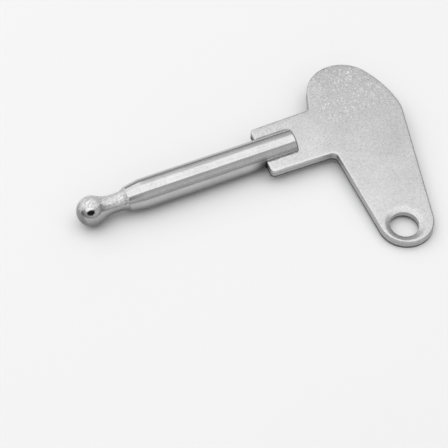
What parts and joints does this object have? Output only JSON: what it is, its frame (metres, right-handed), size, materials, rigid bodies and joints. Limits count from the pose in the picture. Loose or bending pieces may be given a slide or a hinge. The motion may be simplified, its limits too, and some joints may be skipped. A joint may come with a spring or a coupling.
{
  "type": "push-in pin key",
  "caption": "Push-in pin key: turned round pin with a necked ball end, slotted over a flat stamped bow with a key-ring hole.",
  "frame": {"origin": "on the pin's axis, in the plane of the bow plate's two ears, where the free part of the shank ends", "axes": "-X along the pin, out past the ball, which is the way the key goes in; +Z normal to the bow plate, out of the face with the dished hole; the bow's long leg points to -Y"},
  "size_m": [0.0681, 0.0447, 0.006],
  "materials": {
    "turned_steel": "bright plated steel, smooth turned surface",
    "stamped_steel": "satin plated steel with fine random scratches from tumbling",
    "braze": "dull plated braze in the slot"
  },
  "bodies": {
    "root": {"shank_pin": "turned_steel", "bow_plate": "stamped_steel", "braze_joint": "braze"}
  },
  "joints": []
}
